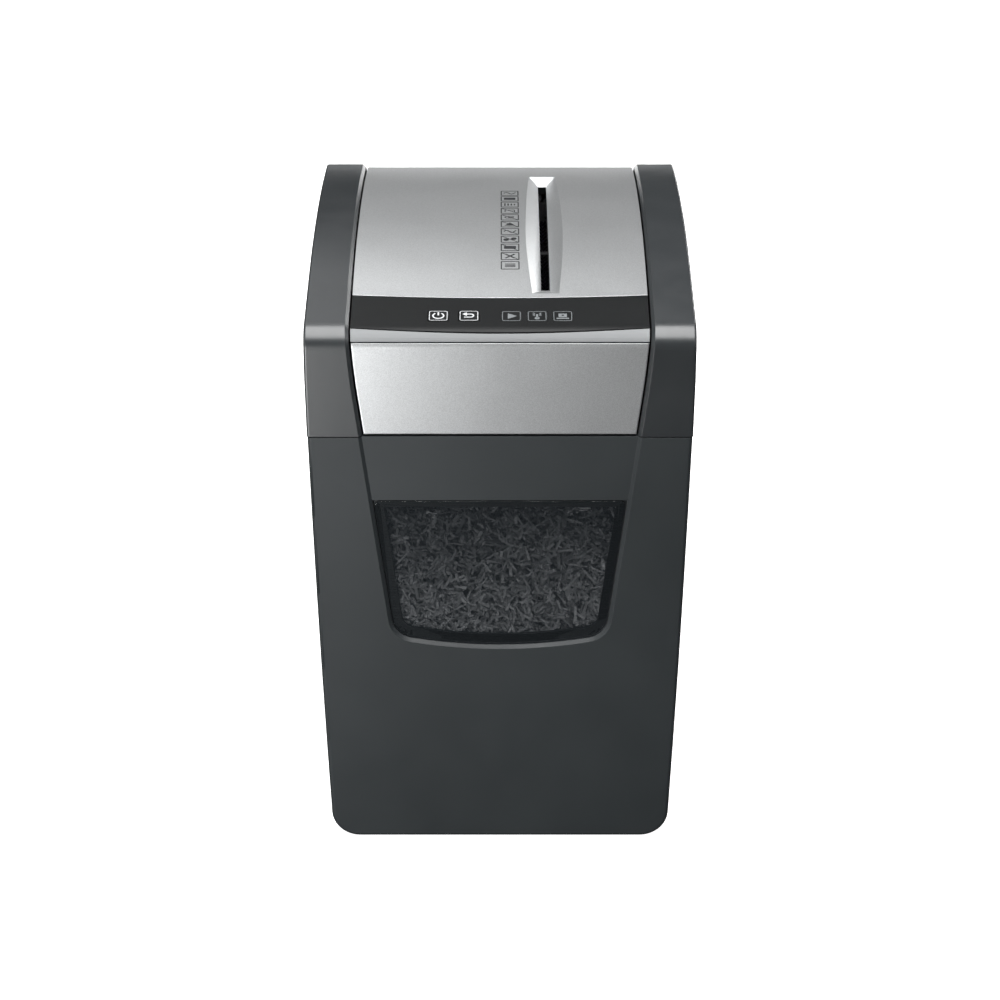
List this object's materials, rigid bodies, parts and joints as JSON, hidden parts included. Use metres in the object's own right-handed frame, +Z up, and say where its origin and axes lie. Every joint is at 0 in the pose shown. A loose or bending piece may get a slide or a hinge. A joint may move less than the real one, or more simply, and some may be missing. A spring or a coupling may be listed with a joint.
{
  "type": "paper shredder",
  "caption": "Narrow free-standing paper shredder with a front-to-back top slot, a control band and a pull-out bin behind a window.",
  "frame": {"origin": "middle of the base on the floor, under the centre of the machine", "axes": "+X to the user's right across the machine, -Y to its front, +Z up"},
  "size_m": [0.288, 0.36, 0.451],
  "materials": {
    "graphite_plastic": "fine satin moulded plastic",
    "silver_paint": "silver metallic paint on plastic",
    "band_plastic": "satin dark band",
    "key_plastic": "satin",
    "lens_plastic": "smoked translucent",
    "smoked_window": "smoked clear plastic",
    "black_plastic": "matte",
    "foot_rubber": "matte",
    "cutter_steel": "ground",
    "plate_steel": "zinc plated",
    "screw_steel": "zinc plated",
    "bush_bronze": "sintered",
    "gear_nylon": "natural nylon",
    "circuit_board": "solder mask",
    "component_plastic": "moulded",
    "magnet_iron": "plain"
  },
  "bodies": {
    "body": {"cabinet_shell": "graphite_plastic", "left_side_frame": "graphite_plastic", "right_side_frame": "graphite_plastic", "rear_cover": "graphite_plastic", "top_panel": "silver_paint", "front_panel": "silver_paint", "trim_strip": "silver_paint", "control_panel": "band_plastic", "indicator_lenses": "lens_plastic", "head_chassis": "black_plastic", "bin_rails": "black_plastic", "gear_cover": "black_plastic", "throat_guide_left": "black_plastic", "throat_guide_right": "black_plastic", "comb_left": "black_plastic", "comb_right": "black_plastic", "paper_sensor_switch": "black_plastic", "reed_switch": "black_plastic", "rocker_switch_body": "black_plastic", "cord_gland": "black_plastic", "motor_end_cap": "black_plastic", "motor_bracket": "black_plastic", "key_switches": "black_plastic", "thermal_cutout": "black_plastic", "rubber_feet": "foot_rubber", "tie_rods": "cutter_steel", "gear_axles": "cutter_steel", "cutter_plate_front": "plate_steel", "cutter_plate_rear": "plate_steel", "motor_housing": "plate_steel", "chassis_screws": "screw_steel", "rear_cover_screws": "screw_steel", "gear_cover_screws": "screw_steel", "shaft_bushes": "bush_bronze", "main_board": "circuit_board", "control_board": "circuit_board", "board_components": "component_plastic"},
    "bin": {"bin_tub": "black_plastic", "bin_front": "graphite_plastic", "bin_window": "smoked_window", "bin_screws": "screw_steel", "bin_magnet": "magnet_iron"},
    "left_cutter": {"cutter_left": "cutter_steel", "final_gear": "plate_steel", "sync_gear_left": "plate_steel"},
    "right_cutter": {"cutter_right": "cutter_steel", "sync_gear_right": "plate_steel"},
    "middle_gear": {"compound_gear_2": "gear_nylon"},
    "first_gear": {"compound_gear_1": "gear_nylon"},
    "rotor": {"motor_shaft": "cutter_steel", "motor_pinion": "plate_steel", "rotor_core": "cutter_steel", "commutator": "bush_bronze", "cooling_fan": "black_plastic"},
    "power_key": {"power_button": "key_plastic"},
    "reverse_key": {"reverse_button": "key_plastic"},
    "mains_rocker": {"rocker_key": "black_plastic"},
    "sensor_lever": {"paper_sensor_lever": "black_plastic"}
  },
  "joints": [
    {"name": "bin_slide", "type": "slide", "parent": "body", "child": "bin", "axis": [0, -1, 0], "range_m": [0, 0.3]},
    {"name": "left_cutter_spin", "type": "hinge", "parent": "body", "child": "left_cutter", "pos_m": [0.0172, 0, 0.3955], "axis": [0, 1, 0], "continuous": true},
    {"name": "right_cutter_spin", "type": "hinge", "parent": "body", "child": "right_cutter", "pos_m": [0.0512, 0, 0.3955], "axis": [0, 1, 0], "continuous": true},
    {"name": "middle_gear_spin", "type": "hinge", "parent": "body", "child": "middle_gear", "pos_m": [-0.02241, 0, 0.38708], "axis": [0, 1, 0], "continuous": true},
    {"name": "first_gear_spin", "type": "hinge", "parent": "body", "child": "first_gear", "pos_m": [-0.05402, 0, 0.39467], "axis": [0, 1, 0], "continuous": true},
    {"name": "rotor_spin", "type": "hinge", "parent": "body", "child": "rotor", "pos_m": [-0.08375, 0, 0.39065], "axis": [0, 1, 0], "continuous": true},
    {"name": "power_key_press", "type": "slide", "parent": "body", "child": "power_key", "axis": [0, 0.1323, -0.9912], "range_m": [0, 0.0008], "stiffness_N_per_m": 400},
    {"name": "reverse_key_press", "type": "slide", "parent": "body", "child": "reverse_key", "axis": [0, 0.1323, -0.9912], "range_m": [0, 0.0008], "stiffness_N_per_m": 400},
    {"name": "mains_rocker_tilt", "type": "hinge", "parent": "body", "child": "mains_rocker", "pos_m": [0.082, 0.1715, 0.388], "axis": [1, 0, 0], "range_deg": [-20, 0]},
    {"name": "sensor_lever_swing", "type": "hinge", "parent": "body", "child": "sensor_lever", "pos_m": [0.0472, 0.009, 0.421], "axis": [0, -1, 0], "range_deg": [0, 20], "stiffness_Nm_per_rad": 0.004, "springref_deg": -11.46}
  ],
  "couplings": [
    {"joint": "right_cutter_spin", "follows": "left_cutter_spin", "ratio": -1},
    {"joint": "middle_gear_spin", "follows": "left_cutter_spin", "ratio": -3.5},
    {"joint": "first_gear_spin", "follows": "left_cutter_spin", "ratio": 11.667},
    {"joint": "rotor_spin", "follows": "left_cutter_spin", "ratio": -46.667}
  ]
}
